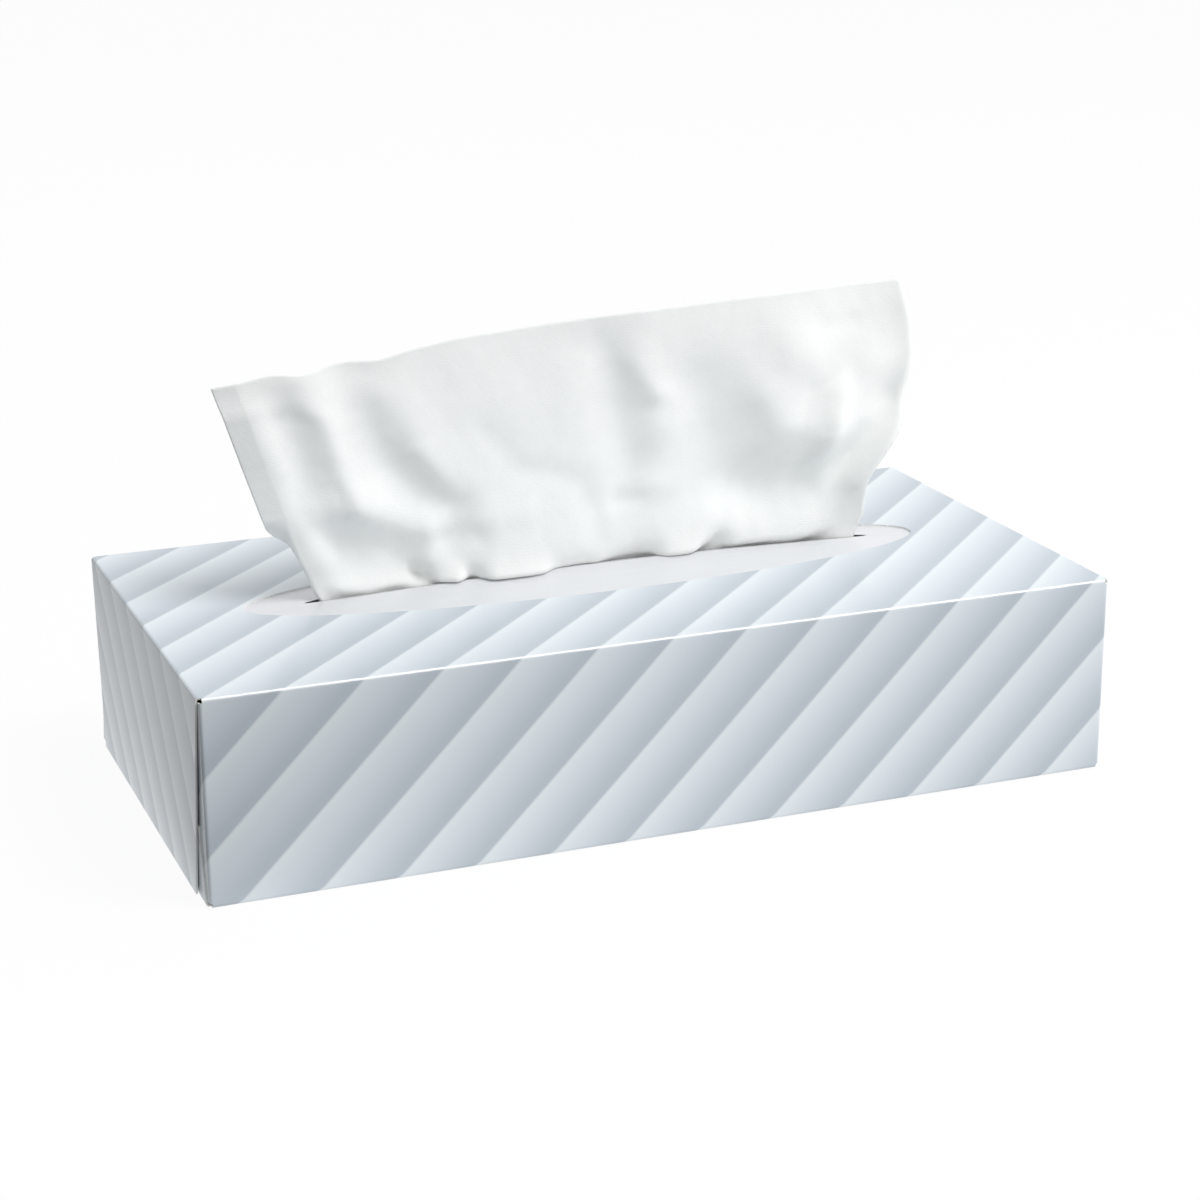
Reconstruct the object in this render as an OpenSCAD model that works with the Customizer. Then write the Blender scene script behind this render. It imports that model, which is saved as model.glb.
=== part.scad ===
// Flat tissue box: a folded and glued paperboard carton with an oval opening, a slit film behind the
// opening, a stack of interfolded tissues and one tissue drawn up through the slit.
// Millimetres, +Z up, +X along the box, origin at the middle of the base.

/* [Carton] */
// Length of the front panel, fold to fold
carton_length = 230; // [210:1:270]
// Width of the top panel, fold to fold
carton_width = 117; // [105:1:140]
// Height of the front panel, fold to fold
carton_height = 50; // [42:1:80]
// Thickness of the board
board = 0.42; // [0.3:0.02:0.6]
// Outside radius of a fold
fold_radius = 0.8; // [0.65:0.05:1.2]
// Height of the glue lap inside the back panel
lap_height = 14; // [8:1:20]
// Gap under the raw lower edge of the back panel
seam_gap = 0.3; // [0.1:0.1:0.6]
// Relief cut at each corner where three folds meet
corner_gap = 0.3; // [0.1:0.1:0.8]

/* [End flaps] */
// Clearance between flaps that lie on each other
ply_gap = 0.08; // [0.05:0.01:0.15]
// Depth of a dust flap, from the front or back panel inwards
dust_flap_depth = 46; // [25:1:54]
// Cut-back of a dust flap at its free edge
dust_flap_taper = 5; // [2:0.5:8]
// Height of the bottom flap
bottom_flap_height = 18; // [13:1:24]
// Cut-back of the bottom flap's sides at its free edge
bottom_flap_taper = 4; // [2:0.5:8]
// Cut-back of the top flap's sides at its free edge
top_flap_taper = 7; // [3:0.5:12]
// Gap between the top flap's free edge and the base
top_flap_foot = 0.6; // [0.3:0.1:2]
// Length of the glue line that holds the top flap to the bottom flap
glue_length = 70; // [40:1:85]
// Width of the glue line
glue_width = 4; // [2:0.5:5]
// Height of the glue line above the base
glue_height = 7; // [4:0.5:9]

/* [Opening and film] */
// Board left at each end of the oval opening
opening_end_margin = 25; // [20:1:40]
// Width of the oval opening
opening_width = 40; // [30:1:50]
// Thickness of the film
film = 0.1; // [0.05:0.01:0.2]
// Glued margin of the film around the opening
film_margin = 11; // [6:0.5:14]
// Film left between each end of the slit and the end of the opening
slit_end_margin = 13.8; // [8:0.1:20]
// Widest gap of the slit
slit_gap = 6; // [5:0.5:8]
// Place of the slit along the opening, from its middle
slit_shift = 1.5; // [-4:0.5:4]
// Lift of the slit's lips where the tissue pulls them up
lip_lift = 2.4; // [0.5:0.1:4]

/* [Tissue stack] */
// Room between the stack and each end of the carton
stack_end_gap = 9.5; // [4:0.5:20]
// Room between the stack and the front or back panel
stack_side_gap = 5.5; // [3:0.5:10]
// Room left above the stack
head_space = 8; // [7:0.5:20]
// Number of folded edges up each long side
stack_layers = 20; // [10:1:26]
// Depth by which each folded edge bulges
layer_bulge = 0.7; // [0.4:0.1:1]
// Step between neighbouring folded edges
layer_stagger = 0.5; // [0.2:0.1:0.8]

/* [Pop-up tissue] */
// Thickness of the tissue
tissue = 0.3; // [0.2:0.05:0.4]
// Height of the drawn-up part at its left edge
plume_left_height = 56.5; // [35:0.5:80]
// Height of the drawn-up part at its middle
plume_middle_height = 62.5; // [45:0.5:90]
// Height of the drawn-up part at its right edge
plume_right_height = 66; // [45:0.5:90]
// Spread of the drawn-up part to the left of the slit
flare_left = 15.6; // [8:0.1:24]
// Spread of the drawn-up part to the right of the slit
flare_right = 14.8; // [6:0.1:20]
// Lean of the top edge towards the back
plume_lean = 6; // [0:0.5:15]
// Depth of a full fold
fold_depth = 6; // [2:0.5:8]
// Half-width of a full fold
fold_width = 8; // [6:0.5:10]
// Margin of the tissue turned back along its left edge
wing_left = 6; // [4:0.5:16]
// Margin of the tissue turned back along its right edge
wing_right = 18; // [10:0.5:24]
// Fall of the top edge along the left margin
wing_left_drop = 1; // [0:0.1:8]
// Fall of the top edge along the right margin
wing_right_drop = 6; // [0:0.1:10]
// Room between the tissue and each end of the slit
neck_gap = 4.4; // [4:0.1:8]
// Bend radius where the tissue turns onto the stack
tail_radius = 4; // [3:0.5:5]
// Room between the tissue's lower edge and the back of the stack
tail_back_gap = 4; // [2:0.5:20]

/* [Hidden] */
$fn = 64;

// Overrun of cutting shapes
overrun = 1;

// Planes of the carton
half_length = carton_length / 2;
half_width = carton_width / 2;
tube_end = half_length - fold_radius;
flat_half_width = half_width - fold_radius;
flap_half_width = flat_half_width - corner_gap;

// Glued faces are pressed into each other by a small share of the board
glue_press_share = 0.1;
glue_press = glue_press_share * board;

// The top flap leans out just enough to pass over the bottom flap
flap_start = half_length + ply_gap + board;
flap_fold_foot = carton_height - fold_radius;
flap_slope = board / (flap_fold_foot - bottom_flap_height);
flap_lean = flap_slope * (flap_fold_foot - top_flap_foot);

// Opening and film
opening_length = carton_length - 2 * opening_end_margin;
film_top = carton_height - board;
slit_half = opening_length / 2 - slit_end_margin;
slit_back_share = 0.1;
slit_back = slit_back_share * slit_gap;
film_sides = 80;
oval_angles = [for (k = [0 : film_sides - 1]) 360 * k / film_sides];
film_rings = 6;
film_corner_share = 0.4;
lip_fall_share = 1.4;

// Stack
stack_length = carton_length - 2 * board - 2 * stack_end_gap;
stack_depth = carton_width - 2 * board - 2 * stack_side_gap;
stack_height = carton_height - 2 * board - head_space;
stack_top = board + stack_height;
layer_pitch = stack_height / stack_layers;
layer_chord_share = 1.15;
layer_chord = layer_chord_share * layer_pitch;
layer_radius = (layer_bulge * layer_bulge + layer_chord * layer_chord / 4) / (2 * layer_bulge);

// Tissue below the slit: straight neck, bend, then flat on the stack
seat_gap = tissue / 3;
tail_level = stack_top + seat_gap + tissue / 2;
neck_length = carton_height - tail_level - tail_radius;
bend_length = tail_radius * PI / 2;
tail_length = stack_depth / 2 - tail_back_gap - tail_radius;
neck_left = slit_half - slit_shift - neck_gap;
neck_right = slit_half + slit_shift - neck_gap;
tail_half = (stack_length - wing_left - wing_right) / 2;

// Tissue above the slit
wing_tuck_share = 2.2;
wing_tuck = wing_tuck_share * tissue;
wing_roll_share = 8;
wing_roll = wing_roll_share * tissue;
wing_left_turn = 14;
wing_right_turn = 120;
wing_open_shares = [0.12, 0.4];
fold_open_share = 0.11;
ripple_share = 1.2;
ripple_depth = ripple_share * tissue;
ripple_count = 9;
span_share = 0.47;
plume_span = neck_left + neck_right + span_share * (flare_left + flare_right);
wall_columns = 44;
wing_columns = 6;
plume_rows = 24;
tail_rows = 4;
row_crowding_share = 1.25;

// The left edge spreads by a power of the height; the right edge spreads in steps, each a share of the
// spread and the shares of the height from which and up to which it is made
flare_left_share = 0.72;
flare_right_shares = [[0.19, 0, 0.1], [0.74, 0.2, 0.5], [0.27, 0.4, 0.75], [-0.2, 0.8, 1.1]];

// Folds of the drawn-up tissue: depth (towards the front is positive) and width as shares of a full fold,
// then the fold's path as shares across the wall and up from the slit
fold_shares = [
    [0.25, 0.55, [[0, 0.85], [0.01, 0.6], [0, 0.4], [0.03, 0.18]]],
    [-0.15, 0.65, [[0.05, 0.8], [0.05, 0.6], [0.04, 0.48]]],
    [0.35, 0.8, [[0.09, 0.95], [0.1, 0.75], [0.1, 0.55], [0.12, 0.42]]],
    [0.3, 0.75, [[0.05, 0.41], [0.1, 0.39], [0.15, 0.33], [0.21, 0.27]]],
    [-0.35, 0.9, [[0.15, 0.92], [0.16, 0.72], [0.17, 0.55], [0.21, 0.42], [0.26, 0.34]]],
    [0.3, 0.75, [[0.19, 0.85], [0.22, 0.62], [0.25, 0.48], [0.29, 0.38]]],
    [-0.3, 1.25, [[0.07, 0.17], [0.14, 0.12], [0.2, 0.14]]],
    [0.45, 1.75, [[0.33, 0.07], [0.48, 0.05]]],
    [-0.4, 0.9, [[0.53, 0.85], [0.53, 0.65], [0.54, 0.52], [0.56, 0.4]]],
    [0.25, 0.65, [[0.56, 0.84], [0.58, 0.68]]],
    [0.25, 0.75, [[0.6, 0.57], [0.58, 0.48], [0.58, 0.36]]],
    [-0.35, 1, [[0.65, 0.66], [0.67, 0.5], [0.71, 0.36], [0.78, 0.27]]],
    [0.5, 1.1, [[0.81, 0.75], [0.78, 0.64], [0.8, 0.5], [0.87, 0.47]]],
    [-0.4, 0.9, [[0.75, 0.27], [0.82, 0.24], [0.9, 0.26]]],
    [0.35, 0.55, [[0.88, 0.6], [0.88, 0.45], [0.89, 0.36], [0.92, 0.28]]],
    [-0.5, 0.75, [[0.95, 0.3], [0.96, 0.42], [0.98, 0.52]]],
    [0.5, 0.75, [[1.03, 0.5], [0.99, 0.27]]],
    [-0.75, 1.75, [[0.98, 0.95], [1, 0.7]]],
    [0.45, 1, [[0.62, 0.08], [0.71, 0.08], [0.8, 0.05], [0.88, 0.04]]]
];

// Straight blend from a to b
function blend(a, b, share) = a + (b - a) * share;

// Smooth rise from 0 to 1 as the share goes from 0 to 1
function ease(share) =
    let (held = min(max(share, 0), 1))
    held * held * (3 - 2 * held);

// Unit vector along v
function unit(v) = v / norm(v);

// Distance from point p to the line from a to b
function line_distance(p, a, b) =
    let (along = min(max((p - a) * (b - a) / ((b - a) * (b - a)), 0), 1))
    norm(p - a - along * (b - a));

// Quarter ring: the section of one right-angled fold, bulging towards +X and +Y
module fold_section() {
    intersection() {
        difference() {
            circle(fold_radius);
            circle(fold_radius - board);
        }
        square(fold_radius);
    }
}

// Stands an outline drawn in Y and Z up, and extrudes it along X
module along_x(length) {
    rotate([90, 0, 90])
        linear_extrude(length)
            children();
}

// Stands an outline drawn in X and Z up, and extrudes it along Y about the middle
module along_y(length) {
    rotate([90, 0, 0])
        linear_extrude(length, center = true)
            children();
}

// Section of the carton's tube in Y and Z: four panels, their folds and the glue lap
module tube_section() {
    lap_edge = half_width - board;
    translate([-flat_half_width, 0])
        square([flat_half_width + lap_edge - fold_radius, board]);
    translate([-half_width, fold_radius])
        square([board, carton_height - 2 * fold_radius]);
    translate([-flat_half_width, carton_height - board])
        square([2 * flat_half_width, board]);
    translate([lap_edge, seam_gap])
        square([board, carton_height - fold_radius - seam_gap]);
    translate([lap_edge - board, fold_radius])
        square([board + glue_press, lap_height - fold_radius]);
    translate([-flat_half_width, fold_radius])
        rotate(180)
            fold_section();
    translate([-flat_half_width, carton_height - fold_radius])
        rotate(90)
            fold_section();
    translate([flat_half_width, carton_height - fold_radius])
        fold_section();
    translate([lap_edge - fold_radius, fold_radius])
        rotate(-90)
            fold_section();
}

// Dust flap on the front panel's right edge, folded inwards
module dust_flap() {
    free_edge = dust_flap_depth - half_width;
    low = fold_radius + corner_gap;
    high = carton_height - low;
    translate([tube_end, -flat_half_width, fold_radius])
        rotate(-90)
            linear_extrude(carton_height - 2 * fold_radius)
                fold_section();
    translate([half_length - board, 0, 0])
        along_x(board)
            polygon([
                [-flat_half_width, low],
                [free_edge, low + dust_flap_taper],
                [free_edge, high - dust_flap_taper],
                [-flat_half_width, high]
            ]);
}

// Bottom flap, folded up outside the dust flaps and glued to them
module bottom_flap() {
    fold_end = half_length + board - fold_radius;
    root = flap_half_width - board;
    translate([tube_end, -root, 0])
        cube([fold_end - tube_end, 2 * root, board]);
    translate([fold_end, 0, fold_radius])
        along_y(2 * root)
            rotate(-90)
                fold_section();
    translate([half_length - glue_press, 0, 0])
        along_x(board + glue_press)
            polygon([
                [-root, fold_radius],
                [root, fold_radius],
                [root - bottom_flap_taper, bottom_flap_height],
                [bottom_flap_taper - root, bottom_flap_height]
            ]);
}

// Top flap, folded down outside the bottom flap and leaning out to clear it
module top_flap() {
    fold_end = flap_start - fold_radius;
    translate([tube_end, -flap_half_width, carton_height - board])
        cube([fold_end - tube_end, 2 * flap_half_width, board]);
    translate([fold_end, 0, flap_fold_foot])
        along_y(2 * flap_half_width)
            fold_section();
    intersection() {
        along_y(carton_width)
            polygon([
                [flap_start - board, flap_fold_foot],
                [flap_start, flap_fold_foot],
                [flap_start + flap_lean, top_flap_foot],
                [flap_start + flap_lean - board, top_flap_foot]
            ]);
        translate([half_length - overrun, 0, 0])
            along_x(flap_lean + board + 2 * overrun)
                polygon([
                    [-flap_half_width, flap_fold_foot + overrun],
                    [-flap_half_width, flap_fold_foot],
                    [top_flap_taper - flap_half_width, 0],
                    [flap_half_width - top_flap_taper, 0],
                    [flap_half_width, flap_fold_foot],
                    [flap_half_width, flap_fold_foot + overrun]
                ]);
    }
}

// Glue line that fills the wedge between the bottom flap and the top flap
module glue_line() {
    inner = half_length + board / 2;
    low = flap_start - board / 2 + flap_slope * (flap_fold_foot - glue_height);
    high = low - flap_slope * glue_width;
    along_y(glue_length)
        polygon([
            [inner, glue_height],
            [low, glue_height],
            [high, glue_height + glue_width],
            [inner, glue_height + glue_width]
        ]);
}

// Everything that closes the right end of the carton
module carton_end() {
    dust_flap();
    mirror([0, 1, 0])
        dust_flap();
    bottom_flap();
    top_flap();
    glue_line();
}

// The folded and glued blank, with its oval opening
module carton() {
    color("lightsteelblue")
        difference() {
            union() {
                translate([-tube_end, 0, 0])
                    along_x(2 * tube_end)
                        tube_section();
                carton_end();
                mirror([1, 0, 0])
                    carton_end();
            }
            translate([0, 0, carton_height - board - overrun])
                linear_extrude(board + 2 * overrun)
                    polygon([for (a = oval_angles) opening_edge(a)]);
        }
}

// Point of the slit's edge, the opening's edge and the film's own edge at one angle
function slit_edge(angle) = [slit_shift + slit_half * cos(angle), slit_back + slit_gap / 2 * sin(angle)];
function opening_edge(angle) = [opening_length / 2 * cos(angle), opening_width / 2 * sin(angle)];
function film_edge(angle) = [
    (opening_length / 2 + film_margin) * sign(cos(angle)) * pow(abs(cos(angle)), film_corner_share),
    (opening_width / 2 + film_margin) * sign(sin(angle)) * pow(abs(sin(angle)), film_corner_share)
];

// Film from the slit (share 0) to the opening's edge (share 1), with its lips lifted along the slit
function film_point(angle, share) =
    let (at = blend(slit_edge(angle), opening_edge(angle), share))
    let (lift = lip_lift * pow(sin(angle), 2) * pow(1 - share, lip_fall_share))
    [at[0], at[1], film_top + lift];

// The slit film: rings from the slit out to the opening, then the flat glued margin
module slit_film() {
    rings = concat(
        [for (k = [0 : film_rings - 1]) [for (a = oval_angles) film_point(a, k / (film_rings - 1))]],
        [[for (a = oval_angles) concat(film_edge(a), film_top)]]
    );
    count = len(rings) * film_sides;
    upper = [for (ring = rings) each ring];
    lower = [for (p = upper) p - [0, 0, film]];
    top_faces = [
        for (k = [0 : len(rings) - 2], i = [0 : film_sides - 1])
            let (a = k * film_sides + i, b = k * film_sides + (i + 1) % film_sides)
            each [[a, b, b + film_sides], [a, b + film_sides, a + film_sides]]
    ];
    slit_wall = [
        for (i = [0 : film_sides - 1])
            let (a = i, b = (i + 1) % film_sides)
            each [[b, a, a + count], [b, a + count, b + count]]
    ];
    outer_wall = [
        for (i = [0 : film_sides - 1])
            let (a = count - film_sides + i, b = count - film_sides + (i + 1) % film_sides)
            each [[a, b, b + count], [a, b + count, a + count]]
    ];
    bottom_faces = [for (f = top_faces) [f[2] + count, f[1] + count, f[0] + count]];
    color("gainsboro")
        polyhedron(
            points = concat(upper, lower),
            faces = concat(top_faces, bottom_faces, slit_wall, outer_wall)
        );
}

// Interfolded stack: a block whose long sides show the folded edges one above the other
module tissue_stack() {
    side = stack_depth / 2 - layer_bulge - layer_stagger;
    color("white")
        translate([-stack_length / 2, 0, board])
            along_x(stack_length)
                intersection() {
                    union() {
                        translate([-side, 0])
                            square([2 * side, stack_height]);
                        for (k = [0 : stack_layers - 1], face = [-1, 1]) {
                            step = (k % 2 == 0 ? face : -face) > 0 ? layer_stagger : 0;
                            reach = side + layer_bulge + step - layer_radius;
                            translate([face * reach, (k + 0.5) * layer_pitch])
                                circle(layer_radius);
                        }
                    }
                    translate([-stack_depth / 2, 0])
                        square([stack_depth, stack_height]);
                }
}

// Height of the tissue's top edge above the carton at a share across the wall
function plume_height(across) =
    plume_left_height * (1 - across) * (1 - 2 * across)
    + plume_middle_height * 4 * across * (1 - across)
    + plume_right_height * across * (2 * across - 1);

// Push of all folds towards the front, at shares across the wall and up from the slit
function fold_push(across, up) =
    let (scale_to = [plume_span, plume_middle_height])
    let (here = [across * scale_to[0], up * scale_to[1]])
    let (pushes = [
        for (fold = fold_shares)
            let (path = [for (p = fold[2]) [p[0] * scale_to[0], p[1] * scale_to[1]]])
            let (away = min([for (k = [0 : len(path) - 2]) line_distance(here, path[k], path[k + 1])]))
            fold[0] * exp(-pow(away / (fold_width * fold[1]), 2))
    ])
    fold_depth * (pushes * [for (p = pushes) 1]);

// Margin turned back from the wall: [outwards, backwards] after a length along it
function wing_offset(length, turn, radius) =
    let (turned = min(length / radius * 180 / PI, turn))
    let (rest = max(length - radius * turn * PI / 180, 0))
    [radius * sin(turned) + rest * cos(turn), radius * (1 - cos(turned)) + rest * sin(turn)];

// Both margins at a column: columns below 0 are on the left margin, above 1 on the right one
function margins(column, open) =
    let (radius = blend(wing_tuck, wing_roll, open))
    let (left = wing_offset(max(-column, 0) * wing_left, blend(180, wing_left_turn, open), radius))
    let (right = wing_offset(max(column - 1, 0) * wing_right, blend(180, wing_right_turn, open), radius))
    [right[0] - left[0], right[1] + left[1]];

// Share across the wall whose folds a column follows: a tucked margin follows the wall in front of it
function followed_share(column, open) =
    let (inset = max(-column, 0) * wing_left - max(column - 1, 0) * wing_right)
    min(max(column, 0), 1) + inset * (1 - open) / plume_span;

// Spread of the right edge at a share of the height
function right_spread(up) =
    let (steps = [for (f = flare_right_shares) f[0] * ease((up - f[1]) / (f[2] - f[1]))])
    flare_right * (steps * [for (s = steps) 1]);

// Point of the drawn-up part, at a share up from the slit
function plume_point(up, column) =
    let (across = min(max(column, 0), 1))
    let (wing_open = ease((up - wing_open_shares[0]) / (wing_open_shares[1] - wing_open_shares[0])))
    let (fold_open = ease(up / fold_open_share))
    let (left = -neck_left - flare_left * pow(up, flare_left_share))
    let (x = blend(left, neck_right + right_spread(up), across))
    let (ripple = ripple_depth * sin(360 * ripple_count * across) * (1 - fold_open))
    let (push = fold_push(followed_share(column, wing_open), up) * fold_open)
    let (margin = margins(column, wing_open))
    let (drop = wing_left_drop * max(-column, 0) + wing_right_drop * max(column - 1, 0))
    [
        x + margin[0],
        plume_lean * up * up + ripple - push + margin[1],
        carton_height + (plume_height(across) - drop) * up
    ];

// Point of the part below the slit, at a distance down along the tissue
function tail_point(down, column) =
    let (across = min(max(column, 0), 1))
    let (spread = ease((down - neck_length) / (bend_length + tail_length)))
    let (x = blend(-blend(neck_left, tail_half, spread), blend(neck_right, tail_half, spread), across))
    let (margin = margins(column, 0))
    let (turn = min(max((down - neck_length) / tail_radius * 180 / PI, 0), 90))
    let (flat = max(down - neck_length - bend_length, 0))
    let (ripple = ripple_depth * sin(360 * ripple_count * across) * (1 - ease(down / neck_length)))
    let (off = margin[1] + ripple)
    let (y = tail_radius * (1 - cos(turn)) + flat)
    let (z = carton_height - min(down, neck_length) - tail_radius * sin(turn))
    [x + margin[0], y + off * cos(turn), z + off * sin(turn)];

// The whole sheet as rows of points, from its lower edge up to its top edge
function sheet_rows() =
    let (columns = concat(
        [for (k = [wing_columns : -1 : 1]) -k / wing_columns],
        [for (k = [0 : wall_columns]) k / wall_columns],
        [for (k = [1 : wing_columns]) 1 + k / wing_columns]
    ))
    let (downs = concat(
        [for (k = [tail_rows : -1 : 1]) neck_length + bend_length + tail_length * k / tail_rows],
        [for (k = [tail_rows : -1 : 1]) neck_length + bend_length * k / tail_rows],
        [neck_length, neck_length / 2]
    ))
    let (ups = [for (k = [0 : plume_rows]) pow(k / plume_rows, row_crowding_share)])
    concat(
        [for (d = downs) [for (c = columns) tail_point(d, c)]],
        [for (up = ups) [for (c = columns) plume_point(up, c)]]
    );

// Tissue drawn up through the slit: one thin folded sheet
module pop_up_tissue() {
    rows = sheet_rows();
    last_row = len(rows) - 1;
    last = len(rows[0]) - 1;
    width = last + 1;
    count = len(rows) * width;
    normals = [
        for (j = [0 : last_row]) [
            for (i = [0 : last])
                unit(cross(
                    rows[j][min(i + 1, last)] - rows[j][max(i - 1, 0)],
                    rows[min(j + 1, last_row)][i] - rows[max(j - 1, 0)][i]
                ))
        ]
    ];
    front = [for (j = [0 : last_row], i = [0 : last]) rows[j][i] + normals[j][i] * tissue / 2];
    back = [for (j = [0 : last_row], i = [0 : last]) rows[j][i] - normals[j][i] * tissue / 2];
    front_faces = [
        for (j = [0 : last_row - 1], i = [0 : last - 1])
            let (a = j * width + i)
            each [[a, a + width, a + width + 1], [a, a + width + 1, a + 1]]
    ];
    back_faces = [for (f = front_faces) [f[2] + count, f[1] + count, f[0] + count]];
    rim = concat(
        [for (i = [0 : last]) i],
        [for (j = [1 : last_row]) j * width + last],
        [for (i = [last - 1 : -1 : 0]) last_row * width + i],
        [for (j = [last_row - 1 : -1 : 1]) j * width]
    );
    rim_faces = [
        for (k = [0 : len(rim) - 1])
            let (a = rim[k], b = rim[(k + 1) % len(rim)])
            each [[a, b, b + count], [a, b + count, a + count]]
    ];
    color("whitesmoke")
        polyhedron(points = concat(front, back), faces = concat(front_faces, back_faces, rim_faces));
}

carton();
slit_film();
tissue_stack();
pop_up_tissue();
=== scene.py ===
"""Looks of a flat tissue box: folded printed carton, slit film, interfolded stack and a drawn-up tissue."""

import math

import bmesh
import bpy
import numpy as np
from mathutils import Matrix


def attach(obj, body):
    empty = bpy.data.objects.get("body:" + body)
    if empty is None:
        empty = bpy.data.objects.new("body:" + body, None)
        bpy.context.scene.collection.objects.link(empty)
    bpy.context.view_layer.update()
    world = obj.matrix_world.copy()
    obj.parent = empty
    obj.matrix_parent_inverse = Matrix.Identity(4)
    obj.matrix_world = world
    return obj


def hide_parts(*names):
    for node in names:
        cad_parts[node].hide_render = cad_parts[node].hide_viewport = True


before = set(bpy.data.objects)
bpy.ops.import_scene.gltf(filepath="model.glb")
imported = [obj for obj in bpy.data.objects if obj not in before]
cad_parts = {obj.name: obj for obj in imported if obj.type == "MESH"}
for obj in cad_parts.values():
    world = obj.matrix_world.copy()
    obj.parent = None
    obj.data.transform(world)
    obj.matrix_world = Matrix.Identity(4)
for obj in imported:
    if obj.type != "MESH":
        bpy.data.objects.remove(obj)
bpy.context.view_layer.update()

MM = 0.001
NEAR = 1e-6
TINY = 1e-9

# Carton, in millimetres as in the part's source
CARTON_LENGTH = 230.0
CARTON_WIDTH = 117.0
CARTON_HEIGHT = 50.0
BOARD = 0.42
FOLD_RADIUS = 0.8
LAP_HEIGHT = 14.0
SEAM_GAP = 0.3
CORNER_GAP = 0.3
PLY_GAP = 0.08
DUST_FLAP_DEPTH = 46.0
DUST_FLAP_TAPER = 5.0
BOTTOM_FLAP_HEIGHT = 18.0
BOTTOM_FLAP_TAPER = 4.0
TOP_FLAP_TAPER = 7.0
TOP_FLAP_FOOT = 0.6
HALF_LENGTH = CARTON_LENGTH / 2
HALF_WIDTH = CARTON_WIDTH / 2
TUBE_END = HALF_LENGTH - FOLD_RADIUS
FLAT_HALF = HALF_WIDTH - FOLD_RADIUS

# Carton in the scene: bow of its panels, steps of its mesh, and the angle in degrees that stays a sharp edge
PANEL_BOW = 0.22
FOLD_STEPS = 8
PANEL_PITCH = 5.0
WELD = 0.02
SHARP_EDGE = 28

# Opening and film
OPENING_LENGTH = 180.0
OPENING_WIDTH = 40.0
OPENING_STEPS = 160
CUTTER_REACH = 3
FILM = 0.1
FILM_MARGIN = 11.0
FILM_TOP = CARTON_HEIGHT - BOARD
FILM_CORNER = 0.4
FILM_TURN = 2.0
FILM_RINGS = 22
MARGIN_RINGS = (0.34, 0.67, 1.0)
SLIT_HALF = 76.2
SLIT_GAP = 6.0
SLIT_SHIFT = 1.5
SLIT_BACK = 0.6
LIP_LIFT = 2.4
LIP_FALL = 1.4

# Torn stubs of the perforation: outline, bottom and top as shares of the board below its face, and sizes
TIE_COUNT = 56
TIE_OUTLINE = [(-0.32, 0.0), (0.32, 0.0), (0.2, 0.22), (0.05, 0.34), (-0.18, 0.25)]
TIE_DEPTHS = (0.92, 0.08)
TIE_SIZES = (0.55, 1.05)
TIE_SEED = 3

# Stack, then one of its layers: share of the pitch it fills, insets of its folded edge, cut edge and ends
STACK_LENGTH = 210.16
STACK_DEPTH = 105.16
STACK_HEIGHT = 41.16
STACK_LAYERS = 50
LAYER_FILL = 0.94
LAYER_FOLD_INSET = 1.2
LAYER_FOLD_ROUND = 0.6
LAYER_FOLD_STEPS = 7
LAYER_CUT_INSETS = (0.6, 0.75)
LAYER_END_INSET = 0.5
LAYER_STAGGER = 0.45
LAYER_SEED = 5

# Drawn-up tissue: heights at the left, middle and right, then how far its two side edges spread; each spread
# at the right has a size and the shares up between which it comes in
TISSUE = 0.3
PLUME_SPAN = 158.0
PLUME_HEIGHTS = (56.5, 62.5, 66.0)
PLUME_LEAN = 6.0
FLARE_LEFT = 17.5
FLARE_LEFT_POWER = 0.85
FLARES_RIGHT = [(2.8, 0.0, 0.1), (11.0, 0.2, 0.5), (4.0, 0.4, 0.75), (-3.0, 0.8, 1.1)]

# The top edge hangs lower at the left, with a small wave: depth, the shares across where the dip ends,
# then the wave's height and length
EDGE_DIP = 1.9
EDGE_DIP_END = (0.2, 0.32)
EDGE_WAVE = 0.35
EDGE_WAVE_LENGTH = 0.1

# Margins turned back at both side edges, closed in the slit and open above it; turns in degrees
WING_LEFT = 6.0
WING_RIGHT = 18.0
WING_TUCK = 0.66
WING_ROLL = 2.4
WING_SHUT_TURN = 180
WING_LEFT_TURN = 14.0
WING_RIGHT_TURN = 120.0
WING_LEFT_DROP = 1.0
WING_RIGHT_DROP = 6.0
WING_OPEN = (0.12, 0.40)

# Gathers in the slit, and small uneven wrinkles: count, lengths, spread of their turn in radians, and height
# as a share of length
RIPPLE_DEPTH = 0.36
RIPPLES = 9
WRINKLES = 26
WRINKLE_LENGTHS = (5.0, 16.0)
WRINKLE_TURN = 0.55
WRINKLE_SHARE = 0.0009
WRINKLE_SEED = 11

# Below the slit: neck, bend and tail on the stack
NECK_GAP = 4.4
NECK_LEFT = SLIT_HALF - SLIT_SHIFT - NECK_GAP
NECK_RIGHT = SLIT_HALF + SLIT_SHIFT - NECK_GAP
TAIL_RADIUS = 4.0
TAIL_LEVEL = BOARD + STACK_HEIGHT + TISSUE / 3 + TISSUE / 2
TAIL_LENGTH = 44.58
NECK_LENGTH = CARTON_HEIGHT - TAIL_LEVEL - TAIL_RADIUS
BEND_LENGTH = TAIL_RADIUS * math.pi / 2
TAIL_HALF = (STACK_LENGTH - WING_LEFT - WING_RIGHT) / 2

# Points of the tissue's mesh: across the left margin, the middle and the right margin; along the tail, the
# bend and the neck; and up the part above the slit
COLUMN_COUNTS = (17, 201, 21)
TAIL_ROWS = 13
BEND_ROWS = 9
NECK_ROWS = 5
PLUME_ROWS = 111

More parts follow.
